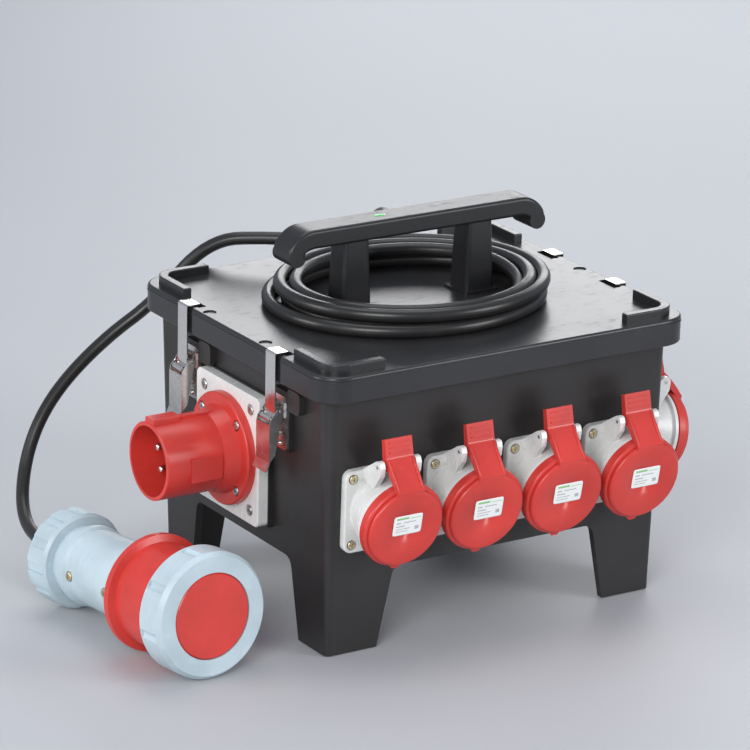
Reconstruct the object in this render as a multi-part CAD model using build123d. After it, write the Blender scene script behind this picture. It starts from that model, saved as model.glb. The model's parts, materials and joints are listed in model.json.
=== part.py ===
"""Portable power distribution box: moulded tub on four corner legs, latched lid with a carrying
handle, a pin inlet, lidded sockets, and a rubber cable coiled on the lid that ends in a connector.

Frame: +X along the long side, away from the inlet; -Y is the front with the socket row; +Z up.
Everything is modelled about the middle of the tub, with the feet on z = 0, and shifted at the end
so that the origin lies under the middle of the box's outline without the loose cable."""
import os
from math import cos, pi, radians, sin, tan

from build123d import *

# ---- driving dimensions (mm) ----
LID_LENGTH, LID_WIDTH, LID_TOP, RIM_DEPTH = 376.0, 326.0, 260.0, 24.0
LID_CORNER, LID_SKIN, RIM_WALL = 26.0, 6.0, 5.0
TUB_LENGTH, TUB_WIDTH, TUB_CORNER, TUB_WALL = 352.0, 292.0, 12.0, 7.0
DRAFT = 1.6                      # wall draft in degrees
FLOOR_UNDERSIDE, FLOOR_THICKNESS = 73.0, 6.0
LEG_TOP, LEG_FOOT_LONG, LEG_FOOT_END, LEG_FLARE = 73.0, 50.0, 45.0, 16.0
GASKET_THICKNESS = 4.0

SOCKET_SIZE, SOCKET_FIXING, SOCKET_PITCH = 75.0, 60.0, 82.0
SOCKET_HEIGHT = 133.0            # centre of every socket flange above the feet
SOCKET_TILT = 10.0               # the mouth looks down by this much
INLET_HEIGHT, INLET_OFFSET = 151.0, 2.0
LATCH_SPREAD_LEFT, LATCH_SPREAD_RIGHT = 76.0, 50.0
HANDLE_TOP, HANDLE_REACH, HANDLE_WIDTH = 341.0, 133.5, 30.0
HANDLE_MIDDLE = -3.3             # x of the grip's middle
CABLE_DIAMETER = 12.0

POST_CENTRES = (-66.0, 62.0)     # x of the two handle posts
RIB_HEIGHT = 8.0
SCREW_HOLE = 2.5

RIM_BOTTOM = LID_TOP - RIM_DEPTH
LID_UNDERSIDE = LID_TOP - LID_SKIN
FLANGE_TOP = LID_UNDERSIDE - GASKET_THICKNESS


def wall_inset(z):
    """How far a drafted wall has moved in at height z, from its size under the rim."""
    return (RIM_BOTTOM - z) * tan(radians(DRAFT))


def rounded_box(length, width, low, high, corner):
    """Upright block with rounded vertical edges, centred on the Z axis."""
    return extrude(Plane.XY.offset(low) * RectangleRounded(length, width, corner), high - low)


def along_y(face, near, far):
    """Extrude a face drawn in X-Z from y = near to y = far."""
    return extrude(Plane.XZ.offset(-near) * face, far - near, dir=(0, 1, 0))


def along_x(face, near, far):
    """Extrude a face drawn in Y-Z from x = near to x = far."""
    return extrude(Plane.YZ.offset(near) * face, far - near, dir=(1, 0, 0))


def cylinder_between(start, end, radius):
    """Round rod between two points."""
    start, end = Vector(*start), Vector(*end)
    return Plane(start, z_dir=end - start) * Cylinder(
        radius, (end - start).length, align=(Align.CENTER, Align.CENTER, Align.MIN))


def drafted_shell(inset, corner, depth=0.0):
    """The tub's outer form moved in by inset: a block that tapers from the rim down to the feet,
    or to depth below them."""
    top_height = FLANGE_TOP - 6
    top_gain = wall_inset(top_height)
    top = Plane.XY.offset(top_height) * RectangleRounded(
        TUB_LENGTH - 2 * (inset + top_gain), TUB_WIDTH - 2 * (inset + top_gain), corner)
    return extrude(top, -(top_height + depth), taper=DRAFT)


# ---- tub ----
def leg_gap(half_foot, half_top):
    """Opening between two legs seen from one side: sloping leg edges, rounded at the top."""
    outline = Polygon((-half_foot, -5), (half_foot, -5), (half_top, LEG_TOP), (-half_top, LEG_TOP),
                      align=None)
    upper = outline.vertices().sort_by(Axis.Y)[-2:]
    return fillet(upper, 10)


def base_housing():
    """Moulded tub: drafted walls, top flange for the gasket, floor, four angled corner legs,
    a raised seat for the inlet plate and one for each latch."""
    tub = drafted_shell(0, TUB_CORNER)
    cavity = drafted_shell(TUB_WALL, TUB_CORNER - 5, depth=1.0)
    flange = rounded_box(LID_LENGTH - 2 * RIM_WALL - 4, LID_WIDTH - 2 * RIM_WALL - 4,
                         FLANGE_TOP - 6, FLANGE_TOP, LID_CORNER - 7)
    mouth = rounded_box(TUB_LENGTH - 2 * TUB_WALL - 6, TUB_WIDTH - 2 * TUB_WALL - 6,
                        FLANGE_TOP - 8, FLANGE_TOP + 1, TUB_CORNER - 4)
    floor = rounded_box(TUB_LENGTH - 18, TUB_WIDTH - 18, FLOOR_UNDERSIDE,
                        FLOOR_UNDERSIDE + FLOOR_THICKNESS, TUB_CORNER - 4)
    body = tub - cavity + (flange - mouth) + floor
    half_length = TUB_LENGTH / 2 - wall_inset(0)
    half_width = TUB_WIDTH / 2 - wall_inset(0)
    long_gap = leg_gap(half_length - LEG_FOOT_LONG, half_length - LEG_FOOT_LONG - LEG_FLARE)
    end_gap = leg_gap(half_width - LEG_FOOT_END, half_width - LEG_FOOT_END - LEG_FLARE + 3)
    body -= along_y(long_gap, -TUB_WIDTH, TUB_WIDTH)
    body -= along_x(end_gap, -TUB_LENGTH, TUB_LENGTH)
    seats = [inlet_seat()] + [latch_seat(side, y) for side, y in latch_places()]
    for seat in seats:
        body += seat - drafted_shell(2, TUB_CORNER)
    for place in socket_places():
        body -= place * Rot(90, 0, 0) * Cylinder(28, 30)
    body -= cylinder_between((-TUB_LENGTH, INLET_OFFSET, INLET_HEIGHT),
                             (-TUB_LENGTH / 2 + 20, INLET_OFFSET, INLET_HEIGHT), 26)
    body -= cylinder_between((GLAND_X, 100, GLAND_HEIGHT), (GLAND_X, 200, GLAND_HEIGHT), 10)
    return body


def inlet_seat():
    """Upright pad that carries the inlet plate square to the drafted end wall."""
    face = Pos(INLET_OFFSET, INLET_HEIGHT) * RectangleRounded(INLET_PLATE[0] + 3, INLET_PLATE[1] + 3, 5)
    return along_x(face, -INLET_SEAT_X, -TUB_LENGTH / 2 + 12)


def latch_seat(side, y):
    """Raised pad behind a latch, with a small block beside it under the rim."""
    pad = along_x(Pos(y, 199.5) * RectangleRounded(30, 54, 4), LATCH_SEAT_X, TUB_LENGTH / 2 - 12)
    beside = y - 25 if side < 0 else y * 0.5
    step = along_x(Pos(beside, 222) * RectangleRounded(20, 20, 4), LATCH_SEAT_X + 2.5, TUB_LENGTH / 2 - 12)
    block = pad + step
    return block if side > 0 else mirror(block, Plane.YZ)


# ---- lid ----
def corner_rib():
    """L-shaped stacking rib, drawn for the +X +Y corner and mirrored to the others."""
    outer = rounded_box(LID_LENGTH - 18, LID_WIDTH - 18, LID_TOP, LID_TOP + RIB_HEIGHT, 20)
    inner = rounded_box(LID_LENGTH - 34, LID_WIDTH - 34, LID_TOP - 1, LID_TOP + RIB_HEIGHT + 1, 13)
    window = Pos(LID_LENGTH / 2, LID_WIDTH / 2, LID_TOP) * Box(2 * 64, 2 * 68, 60)
    rib = (outer - inner) & window
    return fillet(rib.edges().group_by(Axis.Z)[-1], 1.2)


def stacking_ribs():
    """The four ribs on the lid's corners that hold the legs of a second box."""
    rib = corner_rib()
    far = mirror(rib, Plane.XZ)
    return group([rib, far, mirror(rib, Plane.YZ), mirror(far, Plane.YZ)])


def lid():
    """Lid: a skin with a deep rim, latch notches with a pocket behind each, and shallow moulded
    recesses between the latches."""
    shell = rounded_box(LID_LENGTH, LID_WIDTH, RIM_BOTTOM, LID_TOP, LID_CORNER)
    shell = fillet(shell.edges().group_by(Axis.Z)[-1], 2.5)
    shell = fillet(shell.edges().group_by(Axis.Z)[0], 1.5)
    shell -= rounded_box(LID_LENGTH - 2 * RIM_WALL, LID_WIDTH - 2 * RIM_WALL,
                         RIM_BOTTOM - 1, LID_UNDERSIDE, LID_CORNER - RIM_WALL)
    bead = rounded_box(LID_LENGTH + 1.2, LID_WIDTH + 1.2, LID_TOP - 5.0, LID_TOP - 3.8, LID_CORNER)
    shell += bead - rounded_box(LID_LENGTH - 4, LID_WIDTH - 4, LID_TOP - 6, LID_TOP - 3, LID_CORNER - 3)
    edge = LID_LENGTH / 2
    for side, y in latch_places():
        notch = Pos(side * (edge + 4), y, RIM_BOTTOM + RIM_DEPTH / 2) * Box(12, 25, RIM_DEPTH + 4)
        pocket = Pos(side * (edge - 10.5), y, LID_TOP) * Box(8, 25, 8)
        shell -= notch + pocket
    for side, spread in ((-1, 48), (1, 0)):
        for y in {-spread, spread}:
            shell -= Pos(side * (edge - 9), y, LID_TOP) * Cylinder(6, 2.4)
    for x in POST_CENTRES:
        shell -= cylinder_between((x, 0, LID_UNDERSIDE - 1), (x, 0, LID_TOP + 1), SCREW_HOLE)
    return shell


def lid_gasket():
    """Rubber seal between the tub's flange and the lid."""
    outer = rounded_box(LID_LENGTH - 2 * RIM_WALL - 8, LID_WIDTH - 2 * RIM_WALL - 8,
                        FLANGE_TOP, LID_UNDERSIDE, LID_CORNER - 9)
    inner = rounded_box(TUB_LENGTH - 16, TUB_WIDTH - 16, FLANGE_TOP - 1, LID_UNDERSIDE + 1, 8)
    return outer - inner


# ---- handle ----
def handle():
    """Moulded handle: two posts under a flat grip whose ends reach out and turn down as
    cable hooks. Drawn as one side profile, then rounded."""
    grip_low = HANDLE_TOP - 17
    reach = HANDLE_REACH
    with BuildSketch(Plane.XZ) as side:
        with BuildLine():
            Line((-reach + 26, HANDLE_TOP), (reach - 26, HANDLE_TOP))
            Spline((reach - 26, HANDLE_TOP), (reach - 8, HANDLE_TOP - 7), (reach - 1, HANDLE_TOP - 22),
                   tangents=((1, 0), (-0.1, -1)))
            ThreePointArc((reach - 1, HANDLE_TOP - 22), (reach - 9, HANDLE_TOP - 31),
                          (reach - 17, HANDLE_TOP - 23))
            Spline((reach - 17, HANDLE_TOP - 23), (reach - 24, HANDLE_TOP - 17.5), (reach - 36, grip_low),
                   tangents=((-0.2, 1), (-1, 0)))
            Line((reach - 36, grip_low), (-reach + 36, grip_low))
            Spline((-reach + 36, grip_low), (-reach + 24, HANDLE_TOP - 17.5), (-reach + 17, HANDLE_TOP - 23),
                   tangents=((-1, 0), (0.2, -1)))
            ThreePointArc((-reach + 17, HANDLE_TOP - 23), (-reach + 9, HANDLE_TOP - 31),
                          (-reach + 1, HANDLE_TOP - 22))
            Spline((-reach + 1, HANDLE_TOP - 22), (-reach + 8, HANDLE_TOP - 7), (-reach + 26, HANDLE_TOP),
                   tangents=((-0.1, 1), (1, 0)))
        make_face()
    grip = extrude(side.sketch, HANDLE_WIDTH / 2, both=True)
    grip = Pos(HANDLE_MIDDLE, 0, 0) * fillet(grip.edges().filter_by(Axis.X), 3.0)
    posts = []
    for x in POST_CENTRES:
        foot = Plane.XY.offset(LID_TOP) * Pos(x, 0) * RectangleRounded(30, 29, 4)
        head = Plane.XY.offset(grip_low + 4) * Pos(x, 0) * RectangleRounded(25, 26, 4)
        lip = Plane.XY.offset(LID_TOP) * Pos(x, 0) * RectangleRounded(38, 37, 5)
        posts.append(loft([foot, head]) + extrude(lip, 2.5))
    body = grip + posts[0] + posts[1]
    for x in POST_CENTRES:
        body -= cylinder_between((x, 0, LID_TOP - 1), (x, 0, LID_TOP + 25), SCREW_HOLE)
    return body


def handle_screws():
    """One long screw up through the lid into each handle post."""
    screws = []
    for x in POST_CENTRES:
        shank = cylinder_between((x, 0, LID_UNDERSIDE), (x, 0, LID_TOP + 24), SCREW_HOLE - 0.05)
        screws.append(shank + cylinder_between((x, 0, LID_UNDERSIDE - 4), (x, 0, LID_UNDERSIDE), 5))
    return group(screws)


# ---- latches ----
LATCH_SEAT_X = 180.0             # outer face of the latch pads
LATCH_PIVOT = (186.0, 210.0)     # x and z of the lever's pivot, on the +X end
HOOK_PIVOT = (193.0, 203.0)      # x and z of the strap's pivot on the lever
STEEL = 1.2
EAR_PLACE = 9.1                  # middle of each ear of the latch base, across the latch
PIVOT_PIN_RADIUS = 1.5


def latch_places():
    """Side (-1 or +1) and y of the four latches."""
    return [(side, y) for side, spread in ((-1, LATCH_SPREAD_LEFT), (1, LATCH_SPREAD_RIGHT))
            for y in (-spread, spread)]


def on_latch(solid, side, y):
    """Move a latch piece, drawn at y = 0 on the +X end, to its place."""
    placed = solid if side > 0 else mirror(solid, Plane.YZ)
    return Pos(0, y, 0) * placed


def latch_base():
    """Steel plate with two ears that carry the lever's pivot."""
    plate = along_x(Pos(0, 198) * RectangleRounded(24, 48, 3), LATCH_SEAT_X, LATCH_SEAT_X + STEEL)
    px, pz = LATCH_PIVOT
    ear_side = Polygon((LATCH_SEAT_X, pz - 8), (px, pz - 3.4), (px + 3.2, pz), (px, pz + 3.4),
                       (LATCH_SEAT_X, pz + 8), align=None)
    ear = along_y(ear_side, -0.5, 0.5)
    base = plate + Pos(0, EAR_PLACE, 0) * ear + Pos(0, -EAR_PLACE, 0) * ear
    for z in (178, 188):
        base += cylinder_between((LATCH_SEAT_X, 0, z), (LATCH_SEAT_X + 2.4, 0, z), 2.6)
    return base - cylinder_between((px, -15, pz), (px, 15, pz), PIVOT_PIN_RADIUS + 0.05)


def latch_lever():
    """Lever of folded steel: front plate with a lip to pull, side flanges up to the pivot,
    and the riveted pin that carries the strap."""
    px, pz = LATCH_PIVOT
    hx, hz = HOOK_PIVOT
    front_x, top, bottom = 197.4, 199.4, 165.0
    plate_side = Polygon((front_x, top), (front_x - STEEL, top), (front_x - STEEL, bottom),
                         (front_x + 2.2, bottom - 8), (front_x + 3.6, bottom - 7.4),
                         (front_x, bottom + 0.6), align=None)
    lever = along_y(plate_side, -11.1, 11.1)
    flange_side = Polygon((front_x - 0.3, top), (front_x - 0.3, bottom), (front_x - 6, bottom + 6),
                          (px - 1.5, pz - 3.6), (px - 3.4, pz), (px, pz + 3.6), (px + 3.4, pz + 2),
                          (hx + 3.4, hz), align=None)
    flange = along_y(flange_side, -0.6, 0.6)
    lever += Pos(0, 10.5, 0) * flange + Pos(0, -10.5, 0) * flange
    lever -= cylinder_between((px, -15, pz), (px, 15, pz), PIVOT_PIN_RADIUS + 0.05)
    lever += cylinder_between((hx, -10.4, hz), (hx, 10.4, hz), PIVOT_PIN_RADIUS)
    return lever


def latch_hook():
    """Spring steel strap: an eye round the lever's pin, a straight run up the rim, a bend over
    the lid's edge and a short lip turned down at its end, just clear of the lid."""
    hx, hz = HOOK_PIVOT
    inner, outer = hx - 3.6, hx - 3.6 + STEEL
    top = LID_TOP + 1.0
    lip_x = LID_LENGTH / 2 - 10.3
    strap_side = Polygon((inner, hz + 1), (inner, top), (lip_x + STEEL, top), (lip_x + STEEL, LID_TOP + 0.4),
                         (lip_x, LID_TOP + 0.4), (lip_x, top + STEEL), (outer, top + STEEL),
                         (outer, hz + 1), align=None)
    bend = strap_side.vertices().sort_by_distance((outer, top + STEEL))[0]
    strap_side = fillet(bend, 2.0)
    strap = along_y(strap_side, -8, 8)
    eye = cylinder_between((hx, -8, hz), (hx, 8, hz), 3.0) + Pos(hx - 2.4, 0, hz + 1.6) * Box(2.4, 16, 3.2)
    strap += eye
    strap -= cylinder_between((hx, -9, hz), (hx, 9, hz), PIVOT_PIN_RADIUS + 0.05)
    return strap


def latch_pivot_pins():
    """The four pins in the latch bases."""
    px, pz = LATCH_PIVOT
    pin = cylinder_between((px, -11.6, pz), (px, 11.6, pz), PIVOT_PIN_RADIUS)
    return group([on_latch(pin, side, y) for side, y in latch_places()])


# ---- inlet on the left end ----
INLET_PLATE = (108.0, 118.0)
INLET_SEAT_X = 177.5
INLET_PLATE_X = INLET_SEAT_X + 10.0
INLET_FLANGE_X = INLET_PLATE_X + 8.0
SHROUD_END_X = INLET_FLANGE_X + 70.0
SHROUD_RADIUS, SHROUD_WALL = 35.0, 3.5
PIN_CIRCLE = 16.7
PLATE_FIXING = (80.0, 92.0)
INLET_FIXING = 60.0


def inlet_axis(x, radius, x_end):
    """Round piece on the inlet's axis, between two distances from the tub's middle."""
    return cylinder_between((-x, INLET_OFFSET, INLET_HEIGHT), (-x_end, INLET_OFFSET, INLET_HEIGHT), radius)


def screw(radius, length, head_radius, head_height):
    """Pan-head screw with a cross slot: the head stands on z = 0, the shank hangs below."""
    head = Cylinder(head_radius, head_height, align=(Align.CENTER, Align.CENTER, Align.MIN))
    head = fillet(head.edges().sort_by(Axis.Z)[-1], head_height * 0.45)
    for turn in (0, 90):
        head -= Pos(0, 0, head_height) * Rot(0, 0, turn) * Box(head_radius * 1.1, 0.9, head_height)
    return head + Cylinder(radius, length, align=(Align.CENTER, Align.CENTER, Align.MAX))


def group(pieces):
    """Separate solids held together as one node."""
    return Compound([solid for piece in pieces for solid in piece.solids()])


def four_corners(width, height):
    """Corner positions of a rectangle about the origin."""
    return [(a * width / 2, b * height / 2) for a in (-1, 1) for b in (-1, 1)]


def inlet_plate():
    """Square adapter plate with rounded corners and four countersunk fixings."""
    face = Pos(INLET_OFFSET, INLET_HEIGHT) * RectangleRounded(*INLET_PLATE, 6)
    plate = along_x(face, -INLET_PLATE_X, -INLET_SEAT_X)
    plate = chamfer(plate.edges().group_by(Axis.X)[0], 1.0)
    for dy, dz in four_corners(*PLATE_FIXING):
        y, z = INLET_OFFSET + dy, INLET_HEIGHT + dz
        plate -= cylinder_between((-INLET_PLATE_X - 1, y, z), (-INLET_PLATE_X + 2.2, y, z), 5.6)
        plate -= cylinder_between((-INLET_PLATE_X, y, z), (-INLET_SEAT_X, y, z), 2.3)
    return plate - inlet_axis(INLET_SEAT_X, 26, INLET_PLATE_X)


def inlet_plate_screws():
    """Four screws through the adapter plate."""
    pieces = []
    for dy, dz in four_corners(*PLATE_FIXING):
        place = Plane((-INLET_PLATE_X + 2.2, INLET_OFFSET + dy, INLET_HEIGHT + dz), z_dir=(-1, 0, 0))
        pieces.append(place * screw(2.3, 7.6, 4.4, 3.0))
    return group(pieces)


def inlet_housing():
    """Round flange with a shroud round the pins, a key block on top, a side panel and bosses."""
    flange = inlet_axis(INLET_PLATE_X, 50.5, INLET_FLANGE_X)
    flange = fillet(flange.edges().sort_by(Axis.X)[0], 2.0)
    collar = Plane((-INLET_FLANGE_X + 1, INLET_OFFSET, INLET_HEIGHT), z_dir=(-1, 0, 0)) * Cone(
        40, 35.5, 15, align=(Align.CENTER, Align.CENTER, Align.MIN))
    shroud = inlet_axis(INLET_FLANGE_X - 4, SHROUD_RADIUS, SHROUD_END_X)
    shroud = fillet(shroud.edges().sort_by(Axis.X)[0], 1.2)
    key = Pos(-SHROUD_END_X + 14, INLET_OFFSET, INLET_HEIGHT + SHROUD_RADIUS) * Box(26, 15, 9)
    key = fillet(key.edges().filter_by(Axis.X), 2.0)
    rail = Pos(-SHROUD_END_X + 34, INLET_OFFSET, INLET_HEIGHT + SHROUD_RADIUS) * Box(64, 7, 4)
    panel = Pos(-SHROUD_END_X + 38, INLET_OFFSET - SHROUD_RADIUS + 0.5, INLET_HEIGHT - 2) * Box(30, 4, 22)
    body = flange + collar + shroud + key + rail + panel
    body -= inlet_axis(INLET_FLANGE_X + 2, SHROUD_RADIUS - SHROUD_WALL, SHROUD_END_X + 2)
    body -= inlet_axis(INLET_SEAT_X, 22, INLET_FLANGE_X + 3)
    for dy, dz in four_corners(INLET_FIXING, INLET_FIXING):
        y, z = INLET_OFFSET + dy, INLET_HEIGHT + dz
        body -= cylinder_between((-INLET_FLANGE_X - 1, y, z), (-INLET_FLANGE_X + 2.0, y, z), 5.0)
        body -= cylinder_between((-INLET_FLANGE_X, y, z), (-INLET_PLATE_X + 1, y, z), 2.2)
    return body


def inlet_screws():
    """Four screws that hold the inlet flange to the plate."""
    pieces = []
    for dy, dz in four_corners(INLET_FIXING, INLET_FIXING):
        place = Plane((-INLET_FLANGE_X + 2.0, INLET_OFFSET + dy, INLET_HEIGHT + dz), z_dir=(-1, 0, 0))
        pieces.append(place * screw(2.2, 5.5, 4.0, 2.8))
    return group(pieces)


def pin_circle_places(radius):
    """Five places round a circle, the first at the top, as (across, up)."""
    return [(radius * sin(radians(72 * k)), radius * cos(radians(72 * k))) for k in range(5)]


def inlet_insert():
    """Moulded carrier at the bottom of the shroud that holds the pins."""
    disc = inlet_axis(INLET_FLANGE_X + 2, SHROUD_RADIUS - SHROUD_WALL, INLET_FLANGE_X + 14)
    boss = inlet_axis(INLET_FLANGE_X + 14, 8, INLET_FLANGE_X + 17)
    body = disc + boss
    for k, (dy, dz) in enumerate(pin_circle_places(PIN_CIRCLE)):
        y, z = INLET_OFFSET + dy, INLET_HEIGHT + dz
        hole = 4.2 if k == 0 else 3.5
        body -= cylinder_between((-INLET_FLANGE_X, y, z), (-INLET_FLANGE_X - 20, y, z), hole)
    return body


def inlet_pins():
    """Five contact pins, the top one thicker, with rounded ends."""
    pieces = []
    for k, (dy, dz) in enumerate(pin_circle_places(PIN_CIRCLE)):
        radius = 4.2 if k == 0 else 3.5
        y, z = INLET_OFFSET + dy, INLET_HEIGHT + dz
        pin = cylinder_between((-INLET_FLANGE_X - 2, y, z), (-INLET_FLANGE_X - 54, y, z), radius)
        pieces.append(fillet(pin.edges().sort_by(Axis.X)[0], radius * 0.6))
    return group(pieces)


# ---- sockets: drawn at the origin on the X-Z plane, looking towards -Y ----
MOUTH_REACH, MOUTH_RADIUS, BORE_RADIUS = 37.0, 35.4, 31.5
LID_DISC_RADIUS = 39.0
HINGE = (-29.0, 47.0)            # y and z of the socket lid's hinge
SOCKET_AXIS = Pos(0, 0, 2) * Rot(90 + SOCKET_TILT, 0, 0)     # local +Z runs out of the mouth
FLANGE_DEPTH = 7.0


def socket_places():
    """Four sockets along the front, two on the right end and one on the back."""
    places = []
    for k in range(4):
        places.append(wall_place(0, (k - 1.5) * SOCKET_PITCH + 1.5))
    for y in (-86.0, 86.0):
        places.append(wall_place(90, y))
    places.append(wall_place(180, BACK_SOCKET_ACROSS))
    return places


BACK_SOCKET_ACROSS = 106.0       # seen from behind, to the right of the middle


def wall_place(turn, across):
    """Frame on a drafted wall: turn 0 is the front, 90 the right end, 180 the back."""
    half = (TUB_LENGTH if turn == 90 else TUB_WIDTH) / 2
    depth = half - wall_inset(SOCKET_HEIGHT)
    return Rot(0, 0, turn) * Pos(across, -depth, SOCKET_HEIGHT) * Rot(DRAFT, 0, 0)


def on_socket_axis(radius, start, end, end_radius=None):
    """Round or conical piece on the tilted mouth axis."""
    if end_radius is None:
        piece = Cylinder(radius, end - start, align=(Align.CENTER, Align.CENTER, Align.MIN))
    else:
        piece = Cone(radius, end_radius, end - start, align=(Align.CENTER, Align.CENTER, Align.MIN))
    return SOCKET_AXIS * Pos(0, 0, start) * piece


def socket_housing():
    """Panel socket housing: square flange, conical body turned down to the mouth, sealing collar
    and two hinge lugs on top."""
    flange = along_y(RectangleRounded(SOCKET_SIZE, SOCKET_SIZE, 8), -FLANGE_DEPTH, 0)
    flange = fillet(flange.edges().group_by(Axis.Y)[0], 1.5)
    above_wall = Pos(0, -60 - 1, 0) * Box(120, 120, 160)
    cone = on_socket_axis(32.5, -8, MOUTH_REACH, MOUTH_RADIUS) & above_wall
    collar = on_socket_axis(38.2, MOUTH_REACH - 7, MOUTH_REACH - 4)
    hy, hz = HINGE
    lug_side = Polygon((-FLANGE_DEPTH + 1, 30), (-FLANGE_DEPTH + 1, 38), (hy + 2, hz + 5), (hy - 3, hz + 5),
                       (hy - 5, hz), (hy - 4, hz - 8), (-24, 26), align=None)
    lug_side = fillet(lug_side.vertices().sort_by(Axis.Y)[-2:], 2.5)
    lug = along_x(lug_side, -2.6, 2.6)
    body = flange + cone + collar + Pos(-18, 0, 0) * lug + Pos(18, 0, 0) * lug
    body -= on_socket_axis(BORE_RADIUS, MOUTH_REACH - 30, MOUTH_REACH + 5)
    body -= on_socket_axis(24, -20, MOUTH_REACH)
    body -= cylinder_between((-30, hy, hz), (30, hy, hz), HINGE_PIN_RADIUS)
    for dx, dz in four_corners(SOCKET_FIXING, SOCKET_FIXING):
        body -= cylinder_between((dx, -FLANGE_DEPTH - 1, dz), (dx, -FLANGE_DEPTH + 1.8, dz), 4.8)
        body -= cylinder_between((dx, -FLANGE_DEPTH, dz), (dx, 0, dz), 2.2)
    return body


HINGE_PIN_RADIUS = 1.6


def socket_insert():
    """Contact carrier at the bottom of the socket, with five contact holes and a keyway."""
    low, high = MOUTH_REACH - 30, MOUTH_REACH - 20
    body = on_socket_axis(BORE_RADIUS, low, high)
    for k, (dx, dz) in enumerate(pin_circle_places(PIN_CIRCLE)):
        radius = 4.2 if k == 0 else 3.5
        body -= SOCKET_AXIS * Pos(dx, dz, high - 7) * Cylinder(
            radius, 12, align=(Align.CENTER, Align.CENTER, Align.MIN))
    return body


def lid_face_point(up, reach):
    """Point of the lid's middle plane: up along the disc, reach along the mouth axis."""
    tilt = radians(SOCKET_TILT)
    return (-reach * cos(tilt) - up * sin(tilt), 2 - reach * sin(tilt) + up * cos(tilt))


def socket_lid():
    """Hinged lid: a shallow round cap with an arm from the hinge down over it, a thumb tab above
    the hinge and a small pointed tab at the bottom edge."""
    cap_start, cap_end = MOUTH_REACH - 3, MOUTH_REACH + 6
    cap = on_socket_axis(LID_DISC_RADIUS, cap_start, cap_end)
    cap = fillet(cap.edges().sort_by_distance((0, *lid_face_point(0, 300)))[0], 2.5)
    cap -= on_socket_axis(MOUTH_RADIUS + 1.0, cap_start - 1, MOUTH_REACH + 2)
    hy, hz = HINGE
    arm_top = [(hy + 6.0, 69.0), (hy + 1.5, 70.5), (hy - 2.5, hz + 7)]
    face = [lid_face_point(36, cap_end + 4), lid_face_point(2, cap_end + 3), lid_face_point(-2, cap_end - 2)]
    under = [lid_face_point(37, cap_end - 4), (hy - 4.6, hz - 3.5), (hy, hz - 5), (hy + 4.2, hz - 2.0),
             (hy + 3.5, hz + 4)]
    arm = along_x(Polygon(*(arm_top + face + under), align=None), -13.5, 13.5)
    arm = fillet(arm.edges().filter_by(Axis.X).sort_by_distance((0, hy - 2.5, hz + 7))[0], 4.0)
    groove = SOCKET_AXIS * Pos(0, 20, cap_end + 2.0) * Box(14, 24, 4)
    tip_face = Polygon((-9, 0), (9, 0), (3, -6.5), (-3, -6.5), align=None)
    tip = SOCKET_AXIS * Pos(0, -LID_DISC_RADIUS + 1.5, cap_end - 5) * extrude(tip_face, 4)
    body = cap + arm + tip - groove
    for z in (0, 1, 2):
        body += Pos(0, hy - 1.4 + z * 1.05, hz + 11.5 + 4.2 * z) * Rot(-12, 0, 0) * Box(20, 1.6, 1.4)
    body -= cylinder_between((-20, hy, hz), (20, hy, hz), HINGE_PIN_RADIUS + 0.06)
    return body


def socket_screws(places):
    """Four zinc screws in each socket flange."""
    one = [Plane((dx, -FLANGE_DEPTH + 1.8, dz), z_dir=(0, -1, 0)) * screw(2.2, 5.2, 3.9, 2.6)
           for dx, dz in four_corners(SOCKET_FIXING, SOCKET_FIXING)]
    return group([place * piece for place in places for piece in one])


def socket_hinge_pins(places):
    """Steel pin through the lugs and the lid of each socket."""
    hy, hz = HINGE
    pin = cylinder_between((-21, hy, hz), (21, hy, hz), HINGE_PIN_RADIUS)
    return group([place * pin for place in places])


# ---- cable, gland and connector ----
GLAND_X, GLAND_HEIGHT = 110.0, 155.0
COIL_CENTRE, COIL_OUTER, COIL_INNER, COIL_TOP = (-2.0, 4.0), (144.0, 116.0), (104.0, 80.0), LID_TOP + 29
CONNECTOR_REAR, CONNECTOR_FRONT = Vector(-300, 94, 42.5), Vector(-278, -133, 56.5)
TAIL_ROUTE = [(110, 166, 155), (110, 204, 155), (109, 234, 177), (107, 246, 213), (102, 235, 250),
              (92, 204, 277), (76, 164, 284), (58, 128, 276), (48, 108, 272)]
LEAD_ROUTE = [(18, 110, 279), (-44, 150, 284), (-104, 182, 280), (-146, 208, 219), (-186, 220, 190),
              (-228, 221, 157), (-258, 216, 126), (-279, 207, 89), (-297, 180, 53),
              (-304.3, 138, 40.0), (-300, 94, 42.5)]


def cable_gland():
    """Compression gland in the back wall: hexagon body, domed nut and locknut inside."""
    wall = TUB_WIDTH / 2 - wall_inset(GLAND_HEIGHT + 15)
    hexagon = Plane((GLAND_X, wall, GLAND_HEIGHT), x_dir=(1, 0, 0), z_dir=(0, 1, 0)) * extrude(
        RegularPolygon(15, 6), 6)
    dome = Plane((GLAND_X, wall + 6, GLAND_HEIGHT), x_dir=(1, 0, 0), z_dir=(0, 1, 0)) * Cone(
        13.5, 9.5, TAIL_ROUTE[0][1] - wall - 6, align=(Align.CENTER, Align.CENTER, Align.MIN))
    thread = cylinder_between((GLAND_X, wall - 16, GLAND_HEIGHT), (GLAND_X, wall, GLAND_HEIGHT), 10)
    nut = Plane((GLAND_X, wall - 14, GLAND_HEIGHT), x_dir=(1, 0, 0), z_dir=(0, 1, 0)) * extrude(
        RegularPolygon(14, 6), 5)
    return hexagon + dome + thread + nut


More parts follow.
